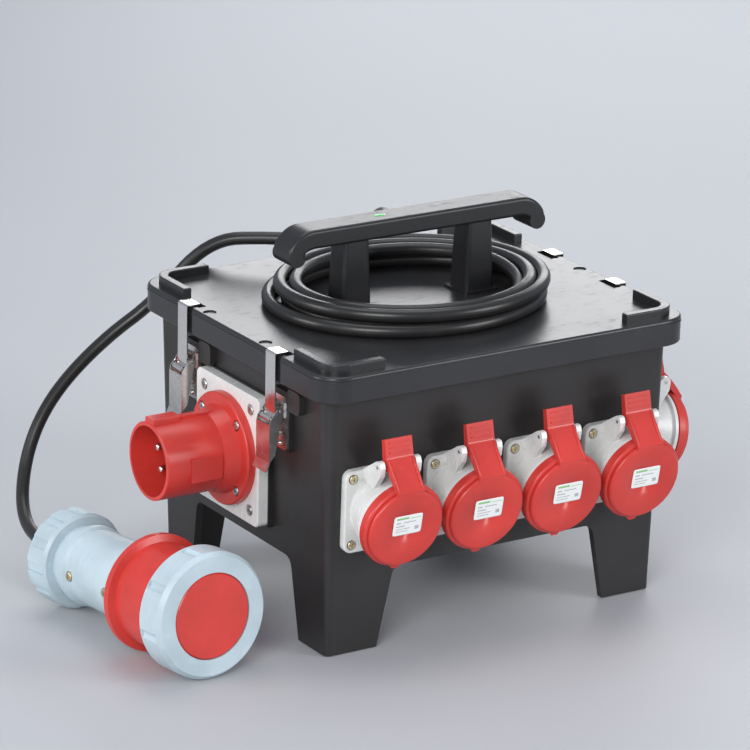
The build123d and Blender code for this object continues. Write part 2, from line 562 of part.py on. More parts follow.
def cable_tube(points, label):
    """Tube of the cable along straight runs joined by tangent arcs, each as large as its two
    runs allow. Prints the arc radii and compares the volume with section times length."""
    vectors = [Vector(*p) for p in points]
    runs = [b - a for a, b in zip(vectors, vectors[1:])]
    radii = []
    for before, after in zip(runs, runs[1:]):
        half_turn = radians(before.get_angle(after)) / 2
        radii.append(0.45 * min(before.length, after.length) / tan(half_turn))
    path = FilletPolyline(*vectors, radius=radii)
    profile = Plane(vectors[0], z_dir=runs[0]) * Circle(CABLE_DIAMETER / 2)
    tube = sweep(profile, path=path)
    section = pi * (CABLE_DIAMETER / 2) ** 2
    print(label, "radii", [round(r) for r in radii], "length", round(path.length),
          "volume ratio", round(tube.volume / (section * path.length), 4))
    return tube


def cable_coil():
    """Outer shape of the loose coil that lies on the lid round the handle's posts."""
    ring = Ellipse(*COIL_OUTER) - Ellipse(*COIL_INNER)
    coil = extrude(Plane.XY.offset(LID_TOP) * Pos(*COIL_CENTRE) * ring, COIL_TOP - LID_TOP)
    return chamfer(coil.edges().group_by(Axis.Z)[-1], 6.0)


def connector_piece(*stations):
    """Turned piece on the connector's axis. Each station is (distance from the rear, radius);
    the outline closes on the axis."""
    axis = CONNECTOR_FRONT - CONNECTOR_REAR
    outline = [(0, stations[0][0])] + [(r, s) for s, r in stations] + [(0, stations[-1][0])]
    profile = Plane.XZ * Polygon(*outline, align=None)
    return Plane(CONNECTOR_REAR, x_dir=Vector(0, 0, 1).cross(axis), z_dir=axis) * revolve(profile, Axis.Z)


def on_connector(solid):
    """Place a solid, drawn with +Z along the connector from its rear, on the connector."""
    axis = CONNECTOR_FRONT - CONNECTOR_REAR
    return Plane(CONNECTOR_REAR, x_dir=Vector(0, 0, 1).cross(axis), z_dir=axis) * solid


CONNECTOR_LENGTH = (CONNECTOR_FRONT - CONNECTOR_REAR).length
BARREL_SCREWS = ((118, 34.5), (60, 32.5))   # distance from the rear, seat's distance from the axis


def connector_clamp():
    """Rear clamping nut with finger slots round its rim."""
    body = connector_piece((0, 30), (3, 38), (8, 43), (30, 43), (33, 40))
    slots = [Rot(0, 0, 30 * k) * Pos(44, 0, 17) * Box(7, 9, 27) for k in range(12)]
    for slot in slots:
        body -= on_connector(slot)
    return body


def connector_body():
    """Grey rear barrel of the connector, with a clamp rib and two sunk screw seats."""
    body = connector_piece((33, 33), (44, 33), (46, 36), (52, 36), (54, 33.5), (126, 36), (128, 40),
                           (138, 40))
    for station, seat in BARREL_SCREWS:
        body -= on_connector(Pos(-seat, 0, station) * Rot(0, -90, 0) * barrel_screw_hole())
    return body


def connector_shell():
    """Red contact housing with its round flange and a catch on the side."""
    end = CONNECTOR_LENGTH
    body = connector_piece((138, 50), (141, 52), (147, 52), (149, 46), (end - 31, 45), (end - 30, 42),
                           (end - 8, 42))
    catch = Pos(0, -50, 162) * Box(18, 10, 34)
    catch = fillet(catch.edges().filter_by(Axis.Z), 3)
    return body + on_connector(Rot(0, 0, 40) * catch)


def connector_ring():
    """Bayonet ring of the sealing cap: grip lobes round the rim and an open face."""
    end = CONNECTOR_LENGTH
    ring = connector_piece((end - 31, 53), (end - 28, 55.8), (end - 4, 55.8), (end, 52.5))
    ring -= connector_piece((end - 40, 45.4), (end - 7.7, 45.4))
    ring -= connector_piece((end - 8, 38.3), (end + 5, 38.3))
    for k in range(8):
        ring -= on_connector(Rot(0, 0, 45 * k + 10) * Pos(58.5, 0, end - 16) * Cylinder(5, 22))
    return ring


def connector_cap():
    """Red sealing disc that shows inside the ring."""
    end = CONNECTOR_LENGTH
    return connector_piece((end - 8, 38), (end - 1.5, 38), (end, 36.5))


def barrel_screw_hole():
    """Shank hole and head seat, drawn with the head above z = 0."""
    shank = Cylinder(2.05, 8.2, align=(Align.CENTER, Align.CENTER, Align.MAX))
    return shank + Cylinder(5.0, 6, align=(Align.CENTER, Align.CENTER, Align.MIN))


def connector_screws():
    """Two clamp screws in the barrel's upper side."""
    return group([on_connector(Pos(-seat, 0, station) * Rot(0, -90, 0) * screw(2.0, 8, 4.4, 2.6))
                  for station, seat in BARREL_SCREWS])


# ---- inside the box ----
def mounting_rail():
    """Top-hat rail on the floor of the tub."""
    base_z = FLOOR_UNDERSIDE + FLOOR_THICKNESS
    profile = Polygon((-13.5, 0), (13.5, 0), (13.5, 6.5), (17.5, 6.5), (17.5, 7.5), (12.5, 7.5),
                      (12.5, 1), (-12.5, 1), (-12.5, 7.5), (-17.5, 7.5), (-17.5, 6.5), (-13.5, 6.5),
                      align=None)
    return along_x(Pos(0, base_z) * profile, -110, 110)


def terminal_blocks():
    """Row of feed-through terminals clipped to the rail."""
    base_z = FLOOR_UNDERSIDE + FLOOR_THICKNESS
    side = Polygon((-22, 7.8), (22, 7.8), (22, 24), (14, 38), (-14, 38), (-22, 24), align=None)
    block = along_x(Pos(0, base_z) * side, -4, 4)
    return group([Pos(x, 0, 0) * block for x in range(-45, 46, 9)])


def build_nodes():
    """All named pieces about the tub's middle; the loose cable's pieces come last."""
    nodes = {"base_housing": base_housing(), "lid": lid(), "stacking_ribs": stacking_ribs(),
             "lid_gasket": lid_gasket(), "handle": handle(), "handle_screws": handle_screws(), "mounting_rail": mounting_rail(),
             "terminal_blocks": terminal_blocks()}
    base, lever, hook = latch_base(), latch_lever(), latch_hook()
    for k, (side, y) in enumerate(latch_places(), start=1):
        nodes[f"latch_base_{k}"] = on_latch(base, side, y)
        nodes[f"latch_lever_{k}"] = on_latch(lever, side, y)
        nodes[f"latch_strap_{k}"] = on_latch(hook, side, y)
    nodes["latch_pivot_pins"] = latch_pivot_pins()
    nodes |= {"inlet_plate": inlet_plate(), "inlet_plate_screws": inlet_plate_screws(),
              "inlet_housing": inlet_housing(), "inlet_screws": inlet_screws(),
              "inlet_insert": inlet_insert(), "inlet_pins": inlet_pins()}
    places = socket_places()
    housing, insert, cover = socket_housing(), socket_insert(), socket_lid()
    for k, place in enumerate(places, start=1):
        nodes[f"socket_housing_{k}"] = place * housing
        nodes[f"socket_insert_{k}"] = place * insert
        nodes[f"socket_lid_{k}"] = place * cover
    nodes["socket_screws"] = socket_screws(places)
    nodes["socket_hinge_pins"] = socket_hinge_pins(places)
    nodes["cable_gland"] = cable_gland()
    cord = {"cable_tail": cable_tube(TAIL_ROUTE, "tail"), "cable_coil": cable_coil(),
            "cable_lead": cable_tube(LEAD_ROUTE, "lead"), "connector_clamp": connector_clamp(),
            "connector_body": connector_body(), "connector_shell": connector_shell(),
            "connector_ring": connector_ring(), "connector_cap": connector_cap(),
            "connector_screws": connector_screws()}
    return nodes, cord


def main():
    """Build, shift to the origin and write one STEP file per node."""
    os.makedirs("parts", exist_ok=True)
    nodes, cord = build_nodes()
    boxes = [shape.bounding_box() for shape in nodes.values()]
    low_x, high_x = min(b.min.X for b in boxes), max(b.max.X for b in boxes)
    low_y, high_y = min(b.min.Y for b in boxes), max(b.max.Y for b in boxes)
    shift = Pos(-(low_x + high_x) / 2, -(low_y + high_y) / 2, 0)
    print("shift", shift.position.X, shift.position.Y, "lowest", min(b.min.Z for b in boxes))
    for name, shape in {**nodes, **cord}.items():
        export_step(shift * shape, f"parts/{name}.step")
    print(len(nodes) + len(cord), "nodes")


main()
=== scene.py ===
# %% [markdown]
# # A portable power distribution box
# A site power box is a black moulded tub on four legs. A latched lid closes it, and the supply
# cable is wound on that lid round the posts of the carrying handle. One end wall carries the
# pin inlet, the others carry round sockets with hinged lids.
#
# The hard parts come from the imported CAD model, already in place and in metres. This lesson adds
# what a CAD solid can't show: the wound cable as one real length of cord, its sleeves, the
# printed labels, and a finish for every surface.

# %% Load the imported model
import json
import math
from collections import Counter

import bpy
import numpy as np
from mathutils import Matrix, Vector

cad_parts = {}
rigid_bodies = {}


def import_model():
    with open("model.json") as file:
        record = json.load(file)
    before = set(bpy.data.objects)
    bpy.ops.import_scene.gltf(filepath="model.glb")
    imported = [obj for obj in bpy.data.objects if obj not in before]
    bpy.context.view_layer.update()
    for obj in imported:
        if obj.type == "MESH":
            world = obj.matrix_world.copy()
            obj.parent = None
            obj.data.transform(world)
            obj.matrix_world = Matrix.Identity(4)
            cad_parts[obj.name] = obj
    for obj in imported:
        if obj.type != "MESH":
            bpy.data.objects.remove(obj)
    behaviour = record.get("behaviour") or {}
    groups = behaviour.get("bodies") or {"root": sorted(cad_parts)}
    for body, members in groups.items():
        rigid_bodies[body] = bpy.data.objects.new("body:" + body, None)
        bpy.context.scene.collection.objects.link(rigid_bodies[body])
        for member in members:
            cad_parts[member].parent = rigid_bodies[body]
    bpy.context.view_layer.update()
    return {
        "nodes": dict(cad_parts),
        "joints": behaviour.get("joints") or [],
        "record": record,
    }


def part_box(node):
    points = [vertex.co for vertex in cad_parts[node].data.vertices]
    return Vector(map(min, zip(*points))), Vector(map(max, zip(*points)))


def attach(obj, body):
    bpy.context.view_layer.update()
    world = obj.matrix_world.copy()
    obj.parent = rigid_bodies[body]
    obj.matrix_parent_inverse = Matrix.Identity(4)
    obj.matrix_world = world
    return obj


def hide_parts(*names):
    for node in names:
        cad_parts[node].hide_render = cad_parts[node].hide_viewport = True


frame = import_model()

nodes, record = frame["nodes"], frame["record"]
lid_low, lid_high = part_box("lid")
tub_middle = Vector(((lid_low.x + lid_high.x) / 2, (lid_low.y + lid_high.y) / 2, 0))
lid_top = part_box("cable_coil")[0].z
print(len(nodes), "CAD nodes, tub middle at x =", round(tub_middle.x, 4), "lid top", round(lid_top, 4))

# %% [markdown]
# ## The camera
# A long lens from about four metres keeps the verticals nearly parallel, as product pictures do.
# The camera is placed by where it looks and from which side: an azimuth and an elevation give
# its direction, and a small roll tips the horizon. A rotation matrix is three unit vectors, the
# camera's right, its up and its back, so it is written that way.

# %% Camera
CAMERA_AZIMUTH, CAMERA_ELEVATION, CAMERA_ROLL = -32.14, 18.64, 1.16
CAMERA_DISTANCE, CAMERA_LENS = 3.984, 215.93
LOOKS_AT = tub_middle + Vector((-0.0375, 0, 0.1935))


def aim(azimuth, elevation, roll):
    """Rotation whose columns are the camera's right, up and back vectors, angles in degrees."""
    a, e = math.radians(azimuth), math.radians(elevation)
    back = Vector((math.sin(a) * math.cos(e), -math.cos(a) * math.cos(e), math.sin(e)))
    right = Vector((0, 0, 1)).cross(back).normalized()
    up = back.cross(right)
    level = Matrix((right, up, back)).transposed()
    return level @ Matrix.Rotation(math.radians(roll), 3, "Z")


camera_data = bpy.data.cameras.new("camera")
camera_data.lens, camera_data.sensor_width = CAMERA_LENS, 36
camera = bpy.data.objects.new("camera", camera_data)
turned = aim(CAMERA_AZIMUTH, CAMERA_ELEVATION, CAMERA_ROLL)
camera.matrix_world = Matrix.Translation(LOOKS_AT + turned.col[2] * CAMERA_DISTANCE) @ turned.to_4x4()
bpy.context.scene.collection.objects.link(camera)
bpy.context.scene.camera = camera
print("camera at", [round(v, 3) for v in camera.matrix_world.translation])

# %% [markdown]
# ## The route of the supply cable
# The cable leaves a gland in the back wall, rises over the lid's edge, makes four loose turns
# round the handle's posts and hangs down past the far corner to its connector on the ground.
# A cord is one smooth line, so it is one NURBS spline. Where it is free its points are listed,
# and where it is wound a formula gives them.

# %% Free ends of the cable, as the CAD model has them
CABLE = 0.012
MILLIMETRE = 0.001


def row_frame(points):
    """Points in millimetres about the tub's middle, turned into metres in the row's frame."""
    return np.array(points, float) * MILLIMETRE + np.array(tub_middle)


TAIL = row_frame([(110, 166, 155), (110, 204, 155), (110, 237, 174), (108, 252, 211), (104, 238, 249),
                  (95, 206, 272), (80, 169, 278), (58, 140, 267), (30, 118, 266)])
LEAD = row_frame([(-30, 124, 283), (-60, 146, 285), (-104, 182, 280), (-146, 208, 219),
                  (-186, 220, 190), (-228, 221, 157), (-258, 216, 126), (-279, 207, 89),
                  (-297, 180, 53), (-304.3, 138, 40.0), (-300, 94, 42.5)])
print("tail starts", TAIL[0].round(4), "lead ends", LEAD[-1].round(4))

# %% [markdown]
# ## The turns on the lid
# Each turn is an ellipse round both posts. The half length, half width and height change slowly
# along the way: the first turn lies outside on the lid, the second inside it, the third climbs
# on top, and the last one swings back out, so the turns fan out as hand-wound cable does.
# The stations below say where along the winding each size holds, and numpy fills in between.

# %% Points of the winding
COIL_MIDDLE = np.array(tub_middle) + np.array((-0.007, 0.001, lid_top))
POINTS_PER_TURN, TURNS = 16, 3.99
START_ANGLE = math.radians(88)
# turns so far, half length, half width and height of the cable's middle above the lid (mm)
STATIONS = np.array([
    (0.00, 126.0, 108.0, 6.0), (0.10, 128.0, 111.0, 6.0), (0.50, 128.0, 111.0, 6.0),
    (0.76, 127.0, 110.0, 6.0), (0.92, 111.0, 93.0, 6.0), (1.58, 111.0, 94.0, 6.0),
    (1.79, 103.5, 86.5, 18.3), (2.26, 103.5, 86.5, 18.3), (2.55, 117.0, 100.0, 18.8),
    (3.28, 118.0, 101.0, 18.3), (3.56, 129.5, 113.0, 18.6), (4.00, 130.0, 114.0, 19.0)])


def winding(turns):
    """Ellipse round the posts whose size and height follow the stations:
    (half length * cos t, half width * sin t, height), t growing by a full circle a turn."""
    along = np.linspace(0, turns, int(POINTS_PER_TURN * turns) + 1)
    length, width, height = (np.interp(along, STATIONS[:, 0], STATIONS[:, k]) * MILLIMETRE
                             for k in (1, 2, 3))
    angle = START_ANGLE + 2 * np.pi * along
    return COIL_MIDDLE + np.stack([length * np.cos(angle), width * np.sin(angle), height], axis=1)


cable_points = np.vstack([TAIL, winding(TURNS), LEAD])
print(len(cable_points), "control points on the cable")

# %% [markdown]
# ## The cable as a curve
# A curve object carries a round bevel along its spline. The cable's radius is given at the points
# and the bevel depth is 1, because a curve's bounding box grows by the radius of its points, and
# left at 1 m it would be metres too large. The order and the end-point switch are set after the
# points are added, because before that Blender would keep the spline at straight runs. The
# control points pull the line without touching it, which is what rounds the corners.

# %% Build the cable
def spline_curve(name, points, radius):
    """One open NURBS spline through the pull of the points, with a round section."""
    curve = bpy.data.curves.new(name, "CURVE")
    curve.dimensions = "3D"
    spline = curve.splines.new("NURBS")
    spline.points.add(len(points) - 1)
    spline.points.foreach_set("co", np.column_stack([points, np.ones(len(points))]).ravel())
    spline.points.foreach_set("radius", np.full(len(points), radius))
    spline.order_u = 3
    spline.use_endpoint_u = True
    spline.resolution_u = 8
    curve.bevel_depth, curve.bevel_resolution, curve.use_fill_caps = 1, 5, True
    made = bpy.data.objects.new(name, curve)
    bpy.context.scene.collection.objects.link(made)
    return made


def centreline(curve_object):
    """Points along a curve's own line, read from a copy that has no bevel."""
    bare = curve_object.data.copy()
    bare.bevel_depth = 0
    probe = bpy.data.objects.new("probe", bare)
    mesh = bpy.data.meshes.new_from_object(probe)
    line = np.zeros(len(mesh.vertices) * 3)
    mesh.vertices.foreach_get("co", line)
    for block, store in ((probe, bpy.data.objects), (mesh, bpy.data.meshes), (bare, bpy.data.curves)):
        store.remove(block)
    return line.reshape(-1, 3)


cable = spline_curve("supply_cable", cable_points, CABLE / 2)
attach(cable, "box")
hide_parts("cable_tail", "cable_coil", "cable_lead")
cable_line = centreline(cable)
cable_length = float(np.linalg.norm(np.diff(cable_line, axis=0), axis=1).sum())
print("cable length", round(cable_length, 3), "m")

# %% [markdown]
# ## Surfaces from arrays
# Every new solid piece is a grid of points worked out with numpy: rows run one way over the
# surface, columns the other. One helper turns such an array into a mesh. Where a direction is
# closed, the last row meets the first, and no seam is left.

# %% Grid helper
def grid_mesh(name, points, closed_rows=False, closed_columns=False, smooth=True):
    """Mesh object from points[row, column]: each cell between neighbours is one face.
    Faces look along (row direction) x (column direction)."""
    rows, columns = points.shape[:2]
    index = np.arange(rows * columns).reshape(rows, columns)
    here = index if closed_rows else index[:-1]
    there = np.roll(index, -1, axis=0) if closed_rows else index[1:]
    if closed_columns:
        here_next, there_next = np.roll(here, -1, axis=1), np.roll(there[:len(here)], -1, axis=1)
        corners = (here, there[:len(here)], there_next, here_next)
    else:
        there = there[:len(here)]
        corners = (here[:, :-1], there[:, :-1], there[:, 1:], here[:, 1:])
    faces = np.stack([c.ravel() for c in corners], axis=1)
    mesh = bpy.data.meshes.new(name)
    mesh.from_pydata(points.reshape(-1, 3).tolist(), [], faces.tolist())
    mesh.polygons.foreach_set("use_smooth", np.full(len(faces), smooth))
    made = bpy.data.objects.new(name, mesh)
    bpy.context.scene.collection.objects.link(made)
    return made


def frame_along(direction):
    """Two unit vectors square to a direction and to each other."""
    direction = np.array(direction, float) / np.linalg.norm(direction)
    helper = np.array((0, 0, 1.0)) if abs(direction[2]) < 0.9 else np.array((1.0, 0, 0))
    across = np.cross(direction, helper)
    across /= np.linalg.norm(across)
    return direction, across, np.cross(direction, across)


def turned_ring(name, start, direction, stations, radii, segments=64):
    """A closed outline spun round an axis: point = start + station * axis + radius * (cos t *
    across + sin t * up). The outline is a loop, so the piece is a closed ring."""
    axis, across, up = frame_along(direction)
    angle = np.linspace(0, 2 * np.pi, segments, endpoint=False)
    spoke = np.cos(angle)[:, None] * across + np.sin(angle)[:, None] * up
    points = (np.array(start) + np.array(stations)[:, None, None] * axis
              + np.array(radii)[:, None, None] * spoke)
    return grid_mesh(name, points, closed_rows=True, closed_columns=True)


print("grid helpers ready")

# %% [markdown]
# ## Sleeves on the cable
# Where a cable leaves a housing, a soft ribbed sleeve stops it from kinking: thick at the gland
# and tapering along the cable. Its outline goes out along a wavy cone and comes back along the
# cable's surface, so the sleeve is a closed ring with the cable through it. The clamping nut of
# the connector holds a short rubber seal of the same kind.

# %% Strain relief and seal
SLEEVE_LENGTH, SLEEVE_RIBS, SLEEVE_RIB_DEPTH = 0.034, 6, 0.0009
SLEEVE_THICK, SLEEVE_THIN, SLEEVE_CLEARANCE, SLEEVE_SUNK = 0.0092, 0.0067, 0.0001, 0.001
SEAL_LENGTH, SEAL_THICK, SEAL_THIN, SEAL_RIB_DEPTH = 0.006, 0.0155, 0.0085, 0.0004


def sleeve_outline(length, thick, thin, ribs, depth, samples=61):
    """Radius along the sleeve: a straight taper plus depth * |sin| ribs, then back inside."""
    along = np.linspace(0, length, samples)
    taper = thick + (thin - thick) * along / length
    outside = taper + depth * np.abs(np.sin(np.pi * ribs * along / length))
    inside = np.full(samples, CABLE / 2 + SLEEVE_CLEARANCE)
    return np.concatenate([along, along[::-1]]), np.concatenate([outside, inside])


exit_way = TAIL[1] - TAIL[0]
sleeve_start = TAIL[0] - SLEEVE_SUNK * exit_way / np.linalg.norm(exit_way)
sleeve = turned_ring("strain_relief", sleeve_start, exit_way,
                     *sleeve_outline(SLEEVE_LENGTH, SLEEVE_THICK, SLEEVE_THIN, SLEEVE_RIBS,
                                     SLEEVE_RIB_DEPTH))
seal = turned_ring("connector_seal", LEAD[-1], LEAD[-2] - LEAD[-1],
                   *sleeve_outline(SEAL_LENGTH, SEAL_THICK, SEAL_THIN, 1, SEAL_RIB_DEPTH))
for piece in (sleeve, seal):
    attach(piece, "box")

# %% [markdown]
# ## Shader maths as Python
# Most of a material is arithmetic on patterns. Written as nodes that is a wall of wiring, so a
# small class wraps a socket and gives it Python's operators: adding two wires makes the Add
# node. Numbers alone stay numbers, and colours never pass through a Math node, which would turn
# them grey.

# %% Sockets with operators
class Wire:
    """One output socket of a node tree that Python's operators work on."""

    def __init__(self, finish, socket):
        self.finish, self.socket = finish, socket

    def maths(self, operation, *values):
        return self.finish.add("ShaderNodeMath", {"operation": operation}, dict(enumerate(values)))

    def __add__(self, other):
        return self.maths("ADD", self, other)

    def __radd__(self, other):
        return self.maths("ADD", other, self)

    def __rsub__(self, other):
        return self.maths("SUBTRACT", other, self)

    def __mul__(self, other):
        return self.maths("MULTIPLY", self, other)

    def __rmul__(self, other):
        return self.maths("MULTIPLY", other, self)

    def __gt__(self, other):
        return self.maths("GREATER_THAN", self, other)

    def __lt__(self, other):
        return self.maths("LESS_THAN", self, other)

    def ramp(self, low, high):
        """0 below low, 1 above high and a smooth rise between."""
        settings = {"interpolation_type": "SMOOTHSTEP"}
        return self.finish.add("ShaderNodeMapRange", settings,
                               {"Value": self, "From Min": low, "From Max": high})


# %% [markdown]
# ## A finish
# A finish is one material: a Principled shader, and a few ways to add to it. Patterns read
# Object coordinates, which are the piece's own metres, so a grain of half a millimetre is the
# same on a screw and on the tub, and stays put when a lid swings.

# %% Finish class
class Finish:
    """A material with one Principled shader, built up node by node."""

    def __init__(self, name, color, **constants):
        self.material = bpy.data.materials.new(name)
        self.material.use_nodes = True
        self.tree = self.material.node_tree
        self.shader = self.tree.nodes["Principled BSDF"]
        self.put("Base Color", (*color, 1))
        for socket, value in constants.items():
            self.put(socket.replace("_", " ").title().replace("Ior", "IOR"), value)
        self.place = self.add("ShaderNodeTexCoord", output="Object")

    def put(self, socket, value):
        """Set or link one of the shader's own sockets."""
        self.connect(self.shader.inputs[socket], value)

    def connect(self, target, value):
        if isinstance(value, Wire):
            self.tree.links.new(value.socket, target)
        else:
            target.default_value = value

    def add(self, kind, settings=None, sockets=None, output=0):
        """Add a node: its settings first, then the values or links of its sockets."""
        node = self.tree.nodes.new(kind)
        for key, value in (settings or {}).items():
            setattr(node, key, value)
        for key, value in (sockets or {}).items():
            self.connect(node.inputs[key], value)
        return Wire(self, node.outputs[output])

    def noise(self, size, detail=2, stretch=None, rough=0.5):
        """Noise whose blobs are size metres across, from 0 to 1, stretched along the axes."""
        where = self.place
        if stretch:
            where = self.add("ShaderNodeMapping", None, {"Vector": where, "Scale": stretch})
        return self.add("ShaderNodeTexNoise", None, {"Vector": where, "Scale": 1 / size, "Detail": detail,
                                                     "Roughness": rough}, output="Fac")

    def blend(self, share, first, second):
        """Colour between two colours by a share from 0 to 1."""
        pick = {"data_type": "RGBA"}
        first, second = (c if isinstance(c, Wire) else (*c, 1) for c in (first, second))
        return self.add("ShaderNodeMix", pick, {0: share, 6: first, 7: second}, output=2)

    def bump(self, height, distance, strength=1.0):
        """Raise the surface by height times distance metres, in its shading only."""
        normal = self.add("ShaderNodeBump", None, {"Height": height, "Distance": distance,
                                                   "Strength": strength})
        self.put("Normal", normal)

    def edges(self, radius):
        """1 on convex and concave edges, 0 on open faces: how far a rounded normal has turned
        from the true one."""
        rounded = self.add("ShaderNodeBevel", {"samples": 4}, {"Radius": radius})
        true = self.add("ShaderNodeNewGeometry", output="Normal")
        agree = self.add("ShaderNodeVectorMath", {"operation": "DOT_PRODUCT"}, {0: rounded, 1: true},
                         output="Value")
        return (1 - agree).ramp(0.02, 0.25)


def shade(color, factor):
    """A colour made darker or lighter by a factor."""
    return tuple(min(1, c * factor) for c in color)


finishes = {}
print("finish tools ready")

# %% [markdown]
# ## Moulded plastics
# Moulded plastic is never one flat colour. Close up it has a fine grain from the tool, wide
# faint clouds of tone, a few rubbed places where the gloss is gone, and edges polished or
# whitened by handling. One function makes them all, and each colour only changes the amounts.

# %% Plastics
def plastic(slot, color, gloss, grain, grain_depth, wear=0.12, edge_tone=1.6, specular=0.5):
    """Plastic with clouds of tone, fine grain, rubbed streaks and worn edges."""
    finish = Finish(slot, color, specular_ior_level=specular)
    clouds = finish.noise(0.06, 3)
    rubbed = finish.noise(0.012, 4, stretch=(1, 3, 1)).ramp(0.55, 0.75)
    worn = finish.edges(0.0009) * finish.noise(0.006, 3).ramp(0.35, 0.65)
    body = finish.blend(clouds.ramp(0.3, 0.7), shade(color, 0.88), shade(color, 1.1))
    body = finish.blend(rubbed * wear, body, shade(color, 1.35))
    finish.put("Base Color", finish.blend(worn * 0.6, body, shade(color, edge_tone)))
    finish.put("Roughness", gloss + 0.10 * rubbed + 0.05 * clouds)
    finish.bump(finish.noise(grain, 2), grain_depth, 0.6)
    finishes[slot] = finish.material
    return finish


plastic("tub_plastic", (0.0225, 0.0205, 0.0200), 0.36, 0.0011, 0.00005, edge_tone=2.4)
plastic("lid_plastic", (0.0230, 0.0230, 0.0245), 0.27, 0.0009, 0.00002, edge_tone=2.2)
plastic("handle_plastic", (0.0145, 0.0145, 0.0155), 0.33, 0.0010, 0.00004, edge_tone=2.6)
plastic("gland_plastic", (0.020, 0.020, 0.021), 0.42, 0.0008, 0.00003)
plastic("white_plastic", (0.76, 0.76, 0.735), 0.24, 0.0012, 0.00002, wear=0.2, edge_tone=1.15)
plastic("red_plastic", (0.62, 0.045, 0.035), 0.26, 0.0012, 0.00002, wear=0.15, edge_tone=1.3)
plastic("grey_plastic", (0.49, 0.60, 0.645), 0.34, 0.0012, 0.00004, wear=0.2, edge_tone=1.2)
plastic("insert_plastic", (0.42, 0.43, 0.44), 0.4, 0.001, 0.00003)
plastic("terminal_plastic", (0.42, 0.42, 0.39), 0.42, 0.001, 0.00003)
print(len(finishes), "plastics")

# %% [markdown]
# ## Rubber
# The cable's sheath and the seals are rubber: dark, softly shining, with a slight bloom and
# fine marks along the cable from being dragged.

# %% Rubber
def rubber(slot, color, gloss):
    """Rubber with a pale bloom in clouds and a fine skin."""
    finish = Finish(slot, color, specular_ior_level=0.45)
    bloom = finish.noise(0.035, 4).ramp(0.45, 0.75)
    finish.put("Base Color", finish.blend(bloom * 0.5, color, shade(color, 1.7)))
    finish.put("Roughness", gloss + 0.14 * bloom)
    finish.bump(finish.noise(0.0008, 2), 0.00004, 0.6)
    finishes[slot] = finish.material


rubber("cable_rubber", (0.019, 0.0185, 0.018), 0.30)
rubber("seal_rubber", (0.013, 0.013, 0.013), 0.55)
print(len(finishes), "finishes")

# %% [markdown]
# ## Metals
# Metals differ by how they were finished. Rolled and plated strip has fine lines along its
# length, chrome is nearly a mirror with faint smudges, and zinc chromate is a thin yellow film
# that turns from straw to pale brass over a screw head.

# %% Metals
def metal(slot, color, gloss, tint, line_size=0.0006, stretch=(1, 1, 0.06), lines=0.08):
    """Metal with drawn lines, smudges in the gloss and a slow change of tint."""
    finish = Finish(slot, color, metallic=1.0)
    drawn = finish.noise(line_size, 3, stretch=stretch)
    smudge = finish.noise(0.008, 3).ramp(0.4, 0.7)
    film = finish.noise(0.004, 2).ramp(0.35, 0.65)
    finish.put("Base Color", finish.blend(film, color, tint))
    finish.put("Roughness", gloss + lines * drawn + 0.08 * smudge)
    finish.bump(drawn, 0.00001, 0.5)
    finishes[slot] = finish.material


metal("latch_chrome", (0.82, 0.80, 0.78), 0.10, (0.78, 0.75, 0.72), lines=0.06)
metal("latch_steel", (0.74, 0.72, 0.70), 0.16, (0.68, 0.65, 0.62))
metal("plain_steel", (0.62, 0.61, 0.60), 0.28, (0.54, 0.53, 0.52))
metal("nickel_contact", (0.78, 0.76, 0.71), 0.16, (0.72, 0.70, 0.66))
metal("yellow_zinc", (0.74, 0.62, 0.38), 0.24, (0.60, 0.56, 0.44))
print(sorted(finishes))

# %% [markdown]
# ## Give every CAD node its finish
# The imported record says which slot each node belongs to, so the finishes are handed out by name.
# The CAD meshes stay as they are: no modifier touches them, and the worn look of their edges
# comes from the Bevel node inside the plastic finish.

# %% Assign finishes
slot_of = {row["node"]: row["material_slot"] for row in record["subparts"]}
for name, part in nodes.items():
    part.data.materials.clear()
    part.data.materials.append(finishes[slot_of[name]])
for piece, slot in ((cable, "cable_rubber"), (sleeve, "seal_rubber"), (seal, "seal_rubber")):
    piece.data.materials.append(finishes[slot])
print(Counter(slot_of.values()).most_common(4))

# %% [markdown]
# ## Faces of the socket lids
# A socket's lid is a cap with a raised round face, joined at its top to the arm that carries it.
# The face and the arm's two side ribs are thin skins over the CAD lid, so they are made here.
# Their place follows from the hinge: it gives the across direction, the wall's draft gives the
# up direction, and the mouth looks ten degrees down.

# %% Where a socket is
DRAFT, MOUTH_TILT = math.radians(1.6), math.radians(10)
HINGE_OUT, HINGE_UP, MOUTH_RISE = 0.029, 0.047, 0.002
joint_of = {joint["child"]: joint for joint in frame["joints"]}
SOCKETS = range(1, 8)


def socket_frame(k):
    """Origin, across, outward and up unit vectors of socket k, square to its wall."""
    joint = joint_of[f"socket_lid_{k}"]
    across = -Vector(joint["axis"]).normalized()
    level = Vector((0, 0, 1)).cross(across)
    outward = -(level * math.cos(DRAFT) + Vector((0, 0, 1)) * math.sin(DRAFT))
    up = outward.cross(across)
    origin = Vector(joint["pos_m"]) - HINGE_OUT * outward - HINGE_UP * up
    return tuple(np.array(v) for v in (origin, across, outward, up))


def lid_frame(k):
    """Middle of socket k's mouth and the across, outward and up vectors of its lid."""
    origin, across, outward, up = socket_frame(k)
    cosine, sine = math.cos(MOUTH_TILT), math.sin(MOUTH_TILT)
    return origin + MOUTH_RISE * up, across, cosine * outward - sine * up, cosine * up + sine * outward


print("first socket at", socket_frame(1)[0].round(4))

# %% [markdown]
# The face is turned like a bottle top: a flat front, a rounded edge and a short side. Its outline
# closes on itself just short of the axis. The ribs are thin rods, half sunk in the arm, that
# swell from nothing by the sine of the way along.

